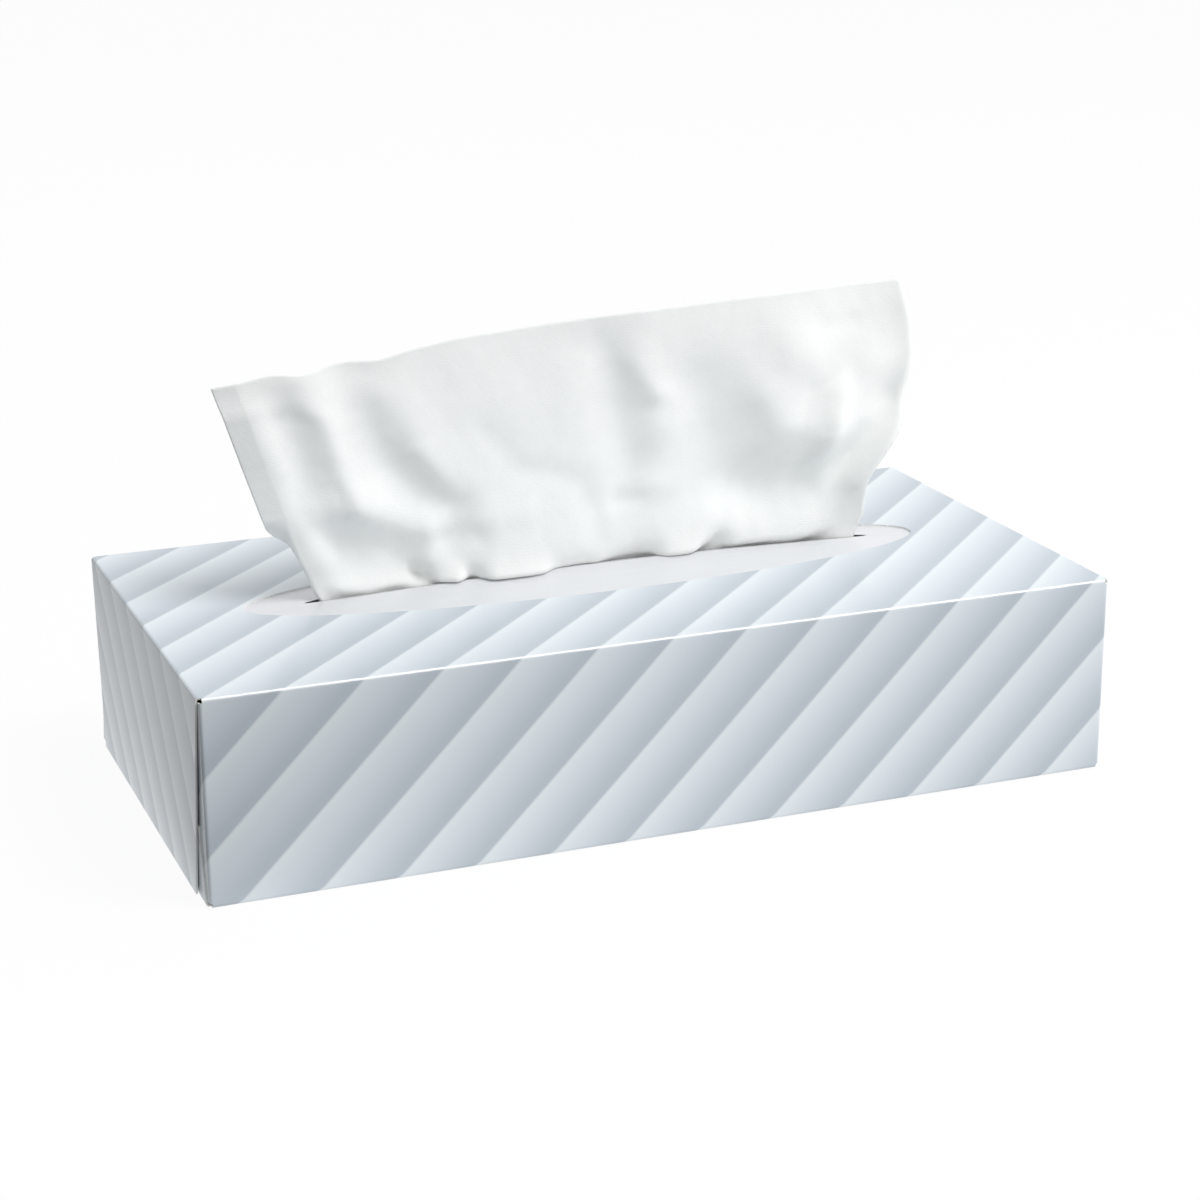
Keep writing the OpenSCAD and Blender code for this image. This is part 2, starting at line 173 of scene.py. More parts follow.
# Main folds of the drawn-up tissue, as in the part's source: depth towards the front and half-width as
# shares of a full fold, then the path as shares across and up
FOLD_DEPTH = 6.0
FOLD_WIDTH = 8.0
MAIN_FOLDS = [
    (0.25, 0.55, [(0, 0.85), (0.01, 0.6), (0, 0.4), (0.03, 0.18)]),
    (-0.15, 0.65, [(0.05, 0.8), (0.05, 0.6), (0.04, 0.48)]),
    (0.35, 0.8, [(0.09, 0.95), (0.1, 0.75), (0.1, 0.55), (0.12, 0.42)]),
    (0.3, 0.75, [(0.05, 0.41), (0.1, 0.39), (0.15, 0.33), (0.21, 0.27)]),
    (-0.35, 0.9, [(0.15, 0.92), (0.16, 0.72), (0.17, 0.55), (0.21, 0.42), (0.26, 0.34)]),
    (0.3, 0.75, [(0.19, 0.85), (0.22, 0.62), (0.25, 0.48), (0.29, 0.38)]),
    (-0.3, 1.25, [(0.07, 0.17), (0.14, 0.12), (0.2, 0.14)]),
    (0.45, 1.75, [(0.33, 0.07), (0.48, 0.05)]),
    (-0.4, 0.9, [(0.53, 0.85), (0.53, 0.65), (0.54, 0.52), (0.56, 0.4)]),
    (0.25, 0.65, [(0.56, 0.84), (0.58, 0.68)]),
    (0.25, 0.75, [(0.6, 0.57), (0.58, 0.48), (0.58, 0.36)]),
    (-0.35, 1, [(0.65, 0.66), (0.67, 0.5), (0.71, 0.36), (0.78, 0.27)]),
    (0.5, 1.1, [(0.81, 0.75), (0.78, 0.64), (0.8, 0.5), (0.87, 0.47)]),
    (-0.4, 0.9, [(0.75, 0.27), (0.82, 0.24), (0.9, 0.26)]),
    (0.35, 0.55, [(0.88, 0.6), (0.88, 0.45), (0.89, 0.36), (0.92, 0.28)]),
    (-0.5, 0.75, [(0.95, 0.3), (0.96, 0.42), (0.98, 0.52)]),
    (0.5, 0.75, [(1.03, 0.5), (0.99, 0.27)]),
    (-0.75, 1.75, [(0.98, 0.95), (1, 0.7)]),
    (0.45, 1, [(0.62, 0.08), (0.71, 0.08), (0.8, 0.05), (0.88, 0.04)]),
]

# Small folds and creases: depth and half-width in millimetres, then the path as above
SMALL_FOLDS = [
    (0.4, 3.5, [(0.03, 0.86), (0.09, 0.83)]),
    (-0.3, 3.0, [(0.04, 0.81), (0.06, 0.82)]),
    (0.8, 4.0, [(0.22, 0.27), (0.27, 0.28), (0.33, 0.27), (0.38, 0.28)]),
    (-1.0, 3.5, [(0.25, 0.21), (0.29, 0.21)]),
    (1.6, 4.0, [(0.21, 0.13), (0.24, 0.06)]),
    (-0.5, 3.5, [(0.32, 0.62), (0.34, 0.55)]),
    (-0.7, 3.5, [(0.37, 0.44), (0.42, 0.41), (0.47, 0.35), (0.5, 0.25), (0.5, 0.14)]),
    (-0.7, 2.5, [(0.54, 0.27), (0.58, 0.27)]),
    (0.5, 3.0, [(0.59, 0.3), (0.64, 0.3)]),
    (-0.9, 3.5, [(0.58, 0.62), (0.6, 0.6)]),
    (-0.4, 2.5, [(0.86, 0.85), (0.91, 0.86)]),
    (0.6, 5.0, [(0.15, 0.9), (0.17, 0.7)]),
    (-0.8, 6.0, [(0.07, 0.27), (0.14, 0.23)]),
    (-1.4, 16.0, [(0.44, 0.85), (0.47, 0.62)]),
    (0.5, 3.5, [(0.75, 0.62), (0.79, 0.5), (0.86, 0.47)]),
    (0.8, 7.0, [(0.75, 0.33), (0.87, 0.32)]),
    (1.8, 7.0, [(0.94, 0.66), (0.94, 0.45)]),
    (2.4, 12.0, [(0.99, 0.92), (1, 0.75)]),
    (1.6, 12.0, [(0.32, 0.04), (0.48, 0.03)]),
    (0.5, 2.5, [(0.1, 0.8), (0.1, 0.55), (0.11, 0.43)]),
    (0.5, 2.5, [(0.22, 0.6), (0.24, 0.48), (0.26, 0.41)]),
    (0.4, 2.5, [(0.56, 0.8), (0.58, 0.68)]),
    (0.5, 2.5, [(0.88, 0.5), (0.88, 0.38)]),
]

# Lobes that rest on the film's front lip, and the creases between them
SLIT_FOLDS = [
    (2.0, 4.0, [(0.05, 0.02), (0.13, 0.02)]),
    (2.8, 3.5, [(0.22, 0.02), (0.24, 0.02)]),
    (2.8, 4.0, [(0.31, 0.02), (0.39, 0.02)]),
    (2.8, 4.0, [(0.63, 0.02), (0.67, 0.02)]),
    (-2.5, 2.5, [(0.18, 0.02), (0.18, 0.06)]),
    (-2.0, 2.5, [(0.27, 0.02), (0.27, 0.05)]),
    (-1.6, 4.0, [(0.42, 0.02), (0.47, 0.03)]),
    (-1.6, 4.0, [(0.52, 0.02), (0.6, 0.03)]),
    (-2.4, 3.5, [(0.7, 0.02), (0.72, 0.05)]),
]
FOLDS = [(FOLD_DEPTH * deep, FOLD_WIDTH * wide, path) for deep, wide, path in MAIN_FOLDS]
FOLDS += SMALL_FOLDS + SLIT_FOLDS

# How the folds act: share up at which they are whole, way of a plain fold and of a deep crest, depth from
# which a crest is deep, and how sharply the lines of a path meld
FOLD_OPEN = 0.06
FOLD_PLAIN = (0.0, -1.0, 0.0)
FOLD_OVERHANG = (-0.12, -1.0, -0.18)
OVERHANG_FROM = 1.5
FOLD_MELD = 7.0
FOLD_FLOOR = 1e-40

# Printed bands on the flat blank: width and start in millimetres, then shades by share of a band; the two
# ends come first, because a new colour ramp has two stops
BAND_PERIOD = 18.78
BAND_PHASE = 4.7
BAND_SHADES = [
    (0.0, (204, 211, 217)),
    (1.0, (223, 230, 234)),
    (0.022, (224, 231, 235)),
    (0.45, (205, 212, 219)),
    (0.86, (184, 193, 201)),
    (0.975, (183, 192, 200)),
]

# White line of cracked print along a fold, in millimetres: full up to, gone from, and unevenness of its edge
LONG_FOLD_WEAR = (0.45, 0.75, 0.5)
END_FOLD_WEAR = (0.3, 0.6, 0.6)
END_FOLD_PLACE = 0.5
END_FOLD_SHARE = 0.45

# Colours of the finishes in sRGB levels
WHITE = (1.0, 1.0, 1.0, 1.0)
PRINT_TINT = (180, 188, 198)
PRINT_WORN = (250, 251, 252)
INSIDE_WHITES = ((232, 232, 229), (243, 243, 241))
EDGE_WHITES = ((220, 219, 215), (246, 246, 244))
FILM_GREYS = ((211, 212, 215), (219, 220, 223))
TISSUE_WHITES = ((244, 246, 243), (249, 251, 248))
STACK_WHITES = ((232, 233, 233), (248, 248, 247))
FLOOR_WHITES = ((243, 243, 243), (246, 246, 246))
# Painted shade: dark glow of the floor away from the carton, which shades the carton's left end
FLOOR_PAINTED_SHADE = (40, 40, 40)

# Noise of the finishes: cells to the metre along x, y and z, then detail
PRINT_TONE = ((40.0, 40.0, 40.0), 2.0)
PRINT_GRAIN = ((2600.0, 2600.0, 2600.0), 2.0)
PRINT_WAVES = ((90.0, 90.0, 90.0), 1.0)
WEAR_EDGE = ((420.0, 1500.0, 1500.0), 3.0)
INSIDE_FIBRES = ((700.0, 3200.0, 3200.0), 4.0)
EDGE_FIBRES = ((2400.0, 2400.0, 5200.0), 4.0)
FILM_STREAKS = ((60.0, 900.0, 200.0), 3.0)
FILM_PUCKERS = ((260.0, 70.0, 70.0), 2.0)
TISSUE_CREPE = ((900.0, 3400.0, 1.0), 3.0)
TISSUE_CLOUD = ((260.0, 260.0, 1.0), 4.0)
STACK_PLIES = ((60.0, 60.0, 2600.0), 3.0)
FLOOR_CLOUD = ((6.0, 6.0, 6.0), 2.0)

# Camera: lens and sensor in millimetres, direction and roll in degrees, place along its own axes, clipping
LENS = 80.48
SENSOR = 36.0
CAMERA_AZIMUTH = -21.3376
CAMERA_ELEVATION = 17.851
CAMERA_ROLL = -0.3422
CAMERA_PLACE = (1.886, 39.359, 693.388)
CAMERA_CLIP = (0.01, 50.0)

# Floor: share of plain white where it is seen, and share of glow in the light it gives back, since it glows
# on the object like a lamp. Then where that glow is painted dark, in metres, along x and on a slanting line
# past
# # the near left corner, as painted shade on the carton's left end; then its size and level
FLOOR_WHITE = 0.93
FLOOR_GLOW = 1.0
FLOOR_FADE = (-0.17, -0.145)
CORNER_FADE = (-0.15, -0.115)
CORNER_LINE = (0.8, 0.6)
FLOOR_HALF = 4000
FLOOR_LEVEL = -0.2

# Surroundings: level at the left and what is added to the right, directions of that rise, tint at the left
SKY_LEVEL = (0.42, 0.62)
SKY_FADE = (-0.7, 0.8)
SKY_COOL = (0.93, 0.975, 1.0, 1.0)

# Lamp
KEY_PLACE = (0.6, -0.64, 1.34)
KEY_SIZE = 0.9
KEY_POWER = 13.5


def linear(red, green, blue):
    """Linear colour with alpha from an sRGB colour of 0 to 255."""
    shares = [v / 255 for v in (red, green, blue)]
    return tuple(v / 12.92 if v <= 0.04045 else ((v + 0.055) / 1.055) ** 2.4 for v in shares) + (1.0,)


class Socket:
    """Output of a node. Arithmetic on it adds Math nodes to the same tree."""

    def __init__(self, tree, output):
        self.tree = tree
        self.output = output

    def math(self, operation, *operands):
        return self.tree.add("ShaderNodeMath", {"operation": operation}, dict(enumerate(operands)))

    def __add__(self, other):
        return self.math("ADD", self, other)

    def __radd__(self, other):
        return self.math("ADD", other, self)

    def __sub__(self, other):
        return self.math("SUBTRACT", self, other)

    def __rsub__(self, other):
        return self.math("SUBTRACT", other, self)

    def __mul__(self, other):
        return self.math("MULTIPLY", self, other)

    def __rmul__(self, other):
        return self.math("MULTIPLY", other, self)

    def __truediv__(self, other):
        return self.math("DIVIDE", self, other)

    def __mod__(self, other):
        return self.math("MODULO", self, other)

    def __abs__(self):
        return self.math("ABSOLUTE", self)

    def fract(self):
        return self.math("FRACT", self)

    def clamp(self):
        return self.math("MINIMUM", self.math("MAXIMUM", self, 0.0), 1.0)

    def step(self, low, high):
        """Smooth rise from 0 at low to 1 at high."""
        span = {"Value": self, "From Min": low, "From Max": high}
        return self.tree.add("ShaderNodeMapRange", {"interpolation_type": "SMOOTHSTEP"}, span)


class Tree:
    """A node tree and the one method that adds any node to it."""

    def __init__(self, node_tree):
        self.node_tree = node_tree
        node_tree.nodes.clear()

    def add(self, kind, settings=None, sockets=None, output=0):
        node = self.node_tree.nodes.new(kind)
        for name, value in (settings or {}).items():
            if name == "stops":
                for element, (place, colour) in zip(node.color_ramp.elements, value):
                    element.position, element.color = place, colour
                for place, colour in value[2:]:
                    node.color_ramp.elements.new(place).color = colour
            else:
                setattr(node, name, value)
        for key, value in (sockets or {}).items():
            if isinstance(value, Socket):
                self.node_tree.links.new(value.output, node.inputs[key])
            else:
                node.inputs[key].default_value = value
        return Socket(self, node.outputs[output]) if node.outputs else None

    def mix(self, share, first, second):
        return self.add("ShaderNodeMix", {"data_type": "RGBA"}, {0: share, 6: first, 7: second}, 2)

    def between(self, share, pair):
        """Mix of a pair of sRGB colours."""
        return self.mix(share, linear(*pair[0]), linear(*pair[1]))

    def place(self, kind="Object"):
        return self.add("ShaderNodeTexCoord", output=["Generated", "Normal", "UV", "Object"].index(kind))

    def axis(self, vector, number):
        return self.add("ShaderNodeSeparateXYZ", None, {0: vector}, number)

    def vector(self, sockets):
        return self.add("ShaderNodeCombineXYZ", None, sockets)

    def noise(self, place, pattern):
        cells, detail = pattern
        stretched = self.add("ShaderNodeMapping", None, {"Vector": place, "Scale": cells})
        return self.add("ShaderNodeTexNoise", None, {"Vector": stretched, "Scale": 1.0, "Detail": detail})

    def bump(self, height, depth, strength):
        """Normal from a relief whose depth is in millimetres."""
        relief = {"Height": height, "Distance": depth * MM, "Strength": strength}
        return self.add("ShaderNodeBump", None, relief)


class Finish(Tree):
    """A material with one Principled surface."""

    def __init__(self, name):
        self.material = bpy.data.materials.new(name)
        self.material.use_nodes = True
        super().__init__(self.material.node_tree)

    def surface(self, sockets):
        shader = self.add("ShaderNodeBsdfPrincipled", None, sockets)
        self.add("ShaderNodeOutputMaterial", None, {"Surface": shader})
        return self.material


def printed_board_finish():
    """Satin printed side of the blank: diagonal shaded bands that run on over the folds."""
    finish = Finish("printed_board")
    blank = finish.add("ShaderNodeUVMap", {"uv_map": "blank"})
    across = finish.axis(blank, 0)
    around = finish.axis(blank, 1)
    place = finish.place()
    share = ((across - around - BAND_PHASE * MM) / (BAND_PERIOD * MM)).fract()
    stops = [(at, linear(*shade)) for at, shade in BAND_SHADES]
    shade = finish.add("ShaderNodeValToRGB", {"stops": stops}, {0: share})
    tone = finish.noise(place, PRINT_TONE)
    toned = finish.mix(0.05 * tone, shade, linear(*PRINT_TINT))
    worn = fold_wear(finish, across, around, place)
    colour = finish.mix(worn, toned, linear(*PRINT_WORN))
    grain = finish.noise(place, PRINT_GRAIN)
    waves = finish.noise(place, PRINT_WAVES)
    relief = grain * 0.12 + waves * 0.5 + worn * 0.4
    return finish.surface({
        "Base Color": colour,
        "Roughness": 0.32 + 0.08 * grain + 0.2 * worn,
        "Normal": finish.bump(relief, 0.12, 0.5),
        "Coat Weight": 0.35 - 0.25 * worn,
        "Coat Roughness": 0.12,
        "IOR": 1.48,
        "Specular IOR Level": 0.2,
    })


def worn_line(away, uneven, wear):
    """Mask of one worn line from the distance to its fold."""
    full, gone, rough = (v * MM for v in wear)
    return 1 - (away + uneven * rough).step(full, gone)


def fold_wear(finish, across, around, place):
    """Mask of the fine white line where the print has cracked along the long folds and the end folds."""
    uneven = finish.noise(place, WEAR_EDGE)
    front = worn_line(abs(around - CARTON_HEIGHT * MM), uneven, LONG_FOLD_WEAR)
    back = worn_line(abs(around - (CARTON_HEIGHT + CARTON_WIDTH) * MM), uneven, LONG_FOLD_WEAR)
    ends = worn_line(abs(abs(across) - (HALF_LENGTH + END_FOLD_PLACE) * MM), uneven, END_FOLD_WEAR)
    return (front + back + END_FOLD_SHARE * ends).clamp()


def board_inside_finish():
    """Unprinted side of the board: warm white with faint fibres."""
    finish = Finish("board_inside")
    fibres = finish.noise(finish.place(), INSIDE_FIBRES)
    return finish.surface({
        "Base Color": finish.between(fibres, INSIDE_WHITES),
        "Roughness": 0.8 + 0.15 * fibres,
        "Normal": finish.bump(fibres, 0.08, 0.6),
    })


def board_edge_finish():
    """Raw cut edge of the board: paper core with layered fibres."""
    finish = Finish("board_edge")
    fibres = finish.noise(finish.place(), EDGE_FIBRES)
    return finish.surface({
        "Base Color": finish.between(fibres, EDGE_WHITES),
        "Roughness": 0.85 + 0.1 * fibres,
        "Normal": finish.bump(fibres, 0.06, 0.7),
    })


def film_finish():
    """Satin film: pale lavender grey with faint drawn streaks."""
    finish = Finish("slit_film")
    place = finish.place()
    streaks = finish.noise(place, FILM_STREAKS)
    puckers = finish.noise(place, FILM_PUCKERS)
    return finish.surface({
        "Base Color": finish.between(streaks, FILM_GREYS),
        "Roughness": 0.34 + 0.12 * streaks,
        "Normal": finish.bump(streaks * 0.3 + puckers, 0.25, 0.5),
        "Coat Weight": 0.25 + 0.1 * puckers,
        "Coat Roughness": 0.25,
    })


def tissue_finish():
    """Soft white two-ply tissue with fine crepe lines across it."""
    finish = Finish("tissue_paper")
    weave = finish.add("ShaderNodeUVMap", {"uv_map": "sheet"})
    crepe = finish.noise(weave, TISSUE_CREPE)
    cloud = finish.noise(weave, TISSUE_CLOUD)
    return finish.surface({
        "Base Color": finish.between(cloud, TISSUE_WHITES),
        "Roughness": 0.9 + 0.08 * crepe,
        "Normal": finish.bump(crepe * 0.7 + cloud * 0.5, 0.18, 0.5),
        "Specular IOR Level": 0.2,
        "Subsurface Weight": 0.5,
        "Subsurface Radius": (1.0, 1.0, 1.0),
        "Subsurface Scale": 0.0015,
    })


def stack_finish():
    """Pressed tissue of the stack: white with faint lines along each layer."""
    finish = Finish("stacked_tissue")
    plies = finish.noise(finish.place(), STACK_PLIES)
    return finish.surface({
        "Base Color": finish.between(plies, STACK_WHITES),
        "Roughness": 0.9 + 0.08 * plies,
        "Normal": finish.bump(plies, 0.2, 0.6),
    })


def mesh_piece(name, points, faces, materials, smooth=True):
    """Object at the origin from points in millimetres and faces."""
    mesh = bpy.data.meshes.new(name)
    mesh.from_pydata((np.asarray(points) * MM).tolist(), [], faces)
    for material in materials:
        mesh.materials.append(material)
    mesh.polygons.foreach_set("use_smooth", [smooth] * len(mesh.polygons))
    piece = bpy.data.objects.new(name, mesh)
    bpy.context.scene.collection.objects.link(piece)
    return piece


def prism(ring, low, high):
    """Points and faces of an upright prism on a ring of points."""
    count = len(ring)
    points = [(x, y, z) for z in (low, high) for x, y in ring]
    faces = [(k, (k + 1) % count, count + (k + 1) % count, count + k) for k in range(count)]
    faces += [tuple(range(count))[::-1], tuple(range(count, 2 * count))]
    return points, faces


def lay_flat(piece, name, places):
    """UV map with each point's place on the flat sheet, from millimetres."""
    loops = np.empty(len(piece.data.loops), int)
    piece.data.loops.foreach_get("vertex_index", loops)
    layer = piece.data.uv_layers.new(name=name)
    layer.data.foreach_set("uv", (np.asarray(places)[loops] * MM).astype(np.float32).ravel())


def settle(piece):
    """Turns the piece with its modifiers into a plain mesh."""
    bpy.context.view_layer.update()
    evaluated = piece.evaluated_get(bpy.context.evaluated_depsgraph_get())
    mesh = bpy.data.meshes.new_from_object(evaluated)
    piece.modifiers.clear()
    piece.data = mesh
    mesh.name = piece.name
    return piece


def finish_piece(piece, node):
    """Puts the piece on the body and hides the CAD node that it stands in for."""
    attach(piece, "root")
    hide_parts(node)
    return piece


class Blank:
    """Walks along the blank's printed side in one plane, keeping place, heading and printed length."""

    def __init__(self, place, heading, printed):
        self.place = np.array(place, float)
        self.heading = np.array(heading, float)
        self.printed = printed
        self.rows = [(*self.place, self.printed)]

    def straight(self, length, marks=()):
        """Runs straight on, with rows at even steps and at the given distances."""
        start, printed = self.place.copy(), self.printed
        for stop in even(0.0, length, marks)[1:]:
            self.place = start + self.heading * stop
            self.printed = printed + stop
            self.rows.append((*self.place, self.printed))
        return self

    def fold(self, side=-1):
        """Turns a right angle on an arc of the outside fold radius; side -1 turns to the right."""
        normal = np.array([-self.heading[1], self.heading[0]]) * side
        centre = self.place + normal * FOLD_RADIUS
        first, heading, printed = self.place - centre, self.heading.copy(), self.printed
        for k in range(1, FOLD_STEPS + 1):
            angle = math.pi / 2 * k / FOLD_STEPS * side
            turn = np.array([[math.cos(angle), -math.sin(angle)], [math.sin(angle), math.cos(angle)]])
            self.place = centre + turn @ first
            self.heading = turn @ heading
            self.printed = printed + 2 * FOLD_RADIUS * k / FOLD_STEPS
            self.rows.append((*self.place, self.printed))
        return self


def even(low, high, marks=()):
    """Even stops from low to high at about the panel pitch, with the marks added."""
    count = max(1, round((high - low) / PANEL_PITCH))
    stops = [low + (high - low) * k / count for k in range(count + 1)]
    return sorted({round(v, 4) for v in stops + list(marks)})


class Sheet:
    """Collects grids of points with their places on the flat blank, for one mesh."""

    def __init__(self):
        self.points, self.prints, self.faces = [], [], []

    def grid(self, rows, flip=False):
        """Adds rows of (x, y, z, u, v); the faces wind so that the printed side faces out."""
        start, width = len(self.points), len(rows[0])
        for row in rows:
            for x, y, z, u, v in row:
                self.points.append((x, y, z))
                self.prints.append((u, v))
        for j in range(len(rows) - 1):
            for i in range(width - 1):
                a = start + j * width + i
                face = (a, a + 1, a + width + 1, a + width)
                self.faces.append(face[::-1] if flip else face)


def bow(share_a, share_b):
    """Outward bow of a panel at shares along and across it; 16 makes it full in the middle."""
    return PANEL_BOW * 16 * share_a * (1 - share_a) * share_b * (1 - share_b)


def carton_blank():
    """The printed side of the folded blank as grids: the tube, then four flaps at each end."""
    lap_edge = HALF_WIDTH - BOARD
    wall = CARTON_HEIGHT - 2 * FOLD_RADIUS
    bottom_root = FLAT_HALF - CORNER_GAP - BOARD
    bottom_start = lap_edge - FOLD_RADIUS
    tube = Blank((lap_edge, LAP_HEIGHT), (0, -1), -CARTON_WIDTH - LAP_HEIGHT)
    tube.straight(LAP_HEIGHT - FOLD_RADIUS).fold()
    bottom = len(tube.rows) - 1
    tube.straight(bottom_start + FLAT_HALF, (bottom_start - bottom_root, bottom_start + bottom_root)).fold()
    tube.printed = FOLD_RADIUS
    front = len(tube.rows) - 1
    tube.straight(wall, (CORNER_GAP, wall - CORNER_GAP)).fold()
    top = len(tube.rows) - 1
    tube.straight(2 * FLAT_HALF, (CORNER_GAP, 2 * FLAT_HALF - CORNER_GAP)).fold()
    back = len(tube.rows) - 1
    tube.straight(CARTON_HEIGHT - FOLD_RADIUS - SEAM_GAP, (CORNER_GAP, wall - CORNER_GAP))
    columns = even(-TUBE_END, TUBE_END, (-TUBE_END + CORNER_GAP, TUBE_END - CORNER_GAP))
    sheet = Sheet()
    rows = []
    for y, z, v in tube.rows:
        up = (z - FOLD_RADIUS) / wall
        on_wall = 0 < up < 1 and abs(y) > FLAT_HALF + FOLD_RADIUS / 2
        row = []
        for x in columns:
            push = bow((x + TUBE_END) / (2 * TUBE_END), up) if on_wall else 0.0
            row.append((x, y + math.copysign(push, y), z, x, v))
        rows.append(row)
    sheet.grid(rows)
    for side in (-1, 1):
        dust_flap(sheet, side, -1, tube.rows[front:])
        dust_flap(sheet, side, 1, tube.rows[back:])
        bottom_flap(sheet, side, tube.rows[bottom:front + 1])
        top_flap(sheet, side, tube.rows[top:back + 1])
    return sheet


def dust_flap(sheet, side, face, rows):
    """Flap grown from the end of the front or back panel, narrower towards its free edge."""
    low, high = FOLD_RADIUS + CORNER_GAP, CARTON_HEIGHT - FOLD_RADIUS - CORNER_GAP
    middle = (low + high) / 2
    run = Blank((TUBE_END, face * HALF_WIDTH), (1, 0), TUBE_END).fold(-face)
    run.straight(DUST_FLAP_DEPTH - FOLD_RADIUS)
    edge = [r for r in rows if abs(r[0] - face * HALF_WIDTH) < NEAR and low - NEAR <= r[1] <= high + NEAR]
    grid = []
    for x, y, u in run.rows:
        reach = max(0.0, (HALF_WIDTH - abs(y) - FOLD_RADIUS) / (DUST_FLAP_DEPTH - FOLD_RADIUS))
        squeeze = 1 - 2 * DUST_FLAP_TAPER * reach / (high - low)
        grid.append([(side * x, y, middle + (z - middle) * squeeze, side * u, v) for _, z, v in edge])
    sheet.grid(grid, side > 0)


def bottom_flap(sheet, side, rows):
    """Short flap turned up from the end of the bottom panel."""
    root = FLAT_HALF - CORNER_GAP - BOARD
    run = Blank((TUBE_END, 0.0), (1, 0), TUBE_END)
    run.straight(HALF_LENGTH + BOARD - FOLD_RADIUS - TUBE_END).fold(1)
    run.straight(BOTTOM_FLAP_HEIGHT - FOLD_RADIUS)
    edge = [r for r in rows if abs(r[0]) <= root + NEAR and abs(r[1]) < NEAR]
    grid = []
    for x, z, u in run.rows:
        reach = max(0.0, z - FOLD_RADIUS) / (BOTTOM_FLAP_HEIGHT - FOLD_RADIUS)
        squeeze = 1 - BOTTOM_FLAP_TAPER * reach / root
        grid.append([(side * x, y * squeeze, z, side * u, v) for y, _, v in edge])
    sheet.grid(grid, side > 0)


def top_flap(sheet, side, rows):
    """Outer flap turned down from the end of the top panel over the bottom flap, with a slight bow."""
    root = FLAT_HALF - CORNER_GAP
    fold_foot = CARTON_HEIGHT - FOLD_RADIUS
    run = Blank((TUBE_END, CARTON_HEIGHT), (1, 0), TUBE_END)
    run.straight(HALF_LENGTH + PLY_GAP + BOARD - FOLD_RADIUS - TUBE_END).fold(-1)
    run.heading = np.array([BOARD / (fold_foot - BOTTOM_FLAP_HEIGHT), -1.0])
    run.straight(fold_foot - TOP_FLAP_FOOT)
    edge = [r for r in rows if abs(r[0]) <= root + NEAR and abs(r[1] - CARTON_HEIGHT) < NEAR]
    grid = []
    for x, z, u in run.rows:
        down = min(max((fold_foot - z) / fold_foot, 0.0), 1.0)
        up = min(max((z - TOP_FLAP_FOOT) / (fold_foot - TOP_FLAP_FOOT), 0.0), 1.0)
        squeeze = 1 - TOP_FLAP_TAPER * down / root
        row = []
        for y, _, v in edge:
            push = bow(up, (y / root + 1) / 2)
            row.append((side * (x + push), y * squeeze, z, side * u, v))
        grid.append(row)
    sheet.grid(grid, side > 0)


def carton(materials):
    """The folded blank given its board thickness, with the oval cut through the top panel."""
    sheet = carton_blank()
    piece = mesh_piece("folded_carton", sheet.points, sheet.faces, materials)
    lay_flat(piece, "blank", sheet.prints)
    work = bmesh.new()
    work.from_mesh(piece.data)
    bmesh.ops.remove_doubles(work, verts=work.verts, dist=WELD * MM)
    work.to_mesh(piece.data)
    work.free()
    thick = piece.modifiers.new("board", "SOLIDIFY")
    thick.thickness = BOARD * MM
    thick.offset = -1.0
    thick.use_even_offset = True
    thick.material_offset = 1
    thick.material_offset_rim = 2
    cutter = oval_cutter(materials)
    cut = piece.modifiers.new("opening", "BOOLEAN")
    cut.operation = "DIFFERENCE"
    cut.solver = "EXACT"
    cut.object = cutter
    settle(piece)
    bpy.data.objects.remove(cutter)
    piece.data.set_sharp_from_angle(angle=math.radians(SHARP_EDGE))
    return finish_piece(piece, "carton")


def oval_cutter(materials):
    """Upright oval prism that cuts the opening; its walls carry the raw edge."""
    angles = [2 * math.pi * k / OPENING_STEPS for k in range(OPENING_STEPS)]
    ring = [(OPENING_LENGTH / 2 * math.cos(a), OPENING_WIDTH / 2 * math.sin(a)) for a in angles]
    points, faces = prism(ring, CARTON_HEIGHT - CUTTER_REACH, CARTON_HEIGHT + CUTTER_REACH)
    piece = mesh_piece("oval_cutter", points, faces, materials)
    piece.data.polygons.foreach_set("material_index", [2] * len(faces))
    return piece


def closed_sheet(name, grid, thickness, material, around=False):
    """Thin closed mesh about a grid of points in millimetres; around joins the ends of each row."""
    rows, columns = grid.shape[:2]
    if around:
        step_c = np.roll(grid, -1, 1) - np.roll(grid, 1, 1)
    else:
        step_c = np.gradient(grid, axis=1)
    normal = np.cross(step_c, np.gradient(grid, axis=0))
    normal /= np.maximum(np.linalg.norm(normal, axis=2, keepdims=True), TINY)
    upper, lower = grid + normal * thickness / 2, grid - normal * thickness / 2
    points = np.concatenate([upper.reshape(-1, 3), lower.reshape(-1, 3)])
    count = rows * columns
    span = columns if around else columns - 1
    faces = []
    for j in range(rows - 1):
        for i in range(span):
            a, b = j * columns + i, j * columns + (i + 1) % columns
            faces.append((a, b, b + columns, a + columns))
            faces.append((a + count, a + columns + count, b + columns + count, b + count))
    for rim in sheet_rims(rows, columns, around):
        for a, b in zip(rim, rim[1:] + rim[:1]):
            faces.append((b, a, a + count, b + count))
    return mesh_piece(name, points, faces, [material])


def sheet_rims(rows, columns, around):
    """Loops of point numbers along the free edges of a grid."""
    last = (rows - 1) * columns
    first_row = list(range(columns))
    if around:
        return [first_row, [last + i for i in reversed(first_row)]]
    right = [j * columns + columns - 1 for j in range(1, rows)]
    last_row = [last + i for i in range(columns - 2, -1, -1)]
    left = [j * columns for j in range(rows - 2, 0, -1)]
    return [first_row + right + last_row + left]


def ease(share):
    """Smooth rise from 0 to 1 as the share goes from 0 to 1."""
    held = np.clip(share, 0.0, 1.0)
    return held * held * (3 - 2 * held)


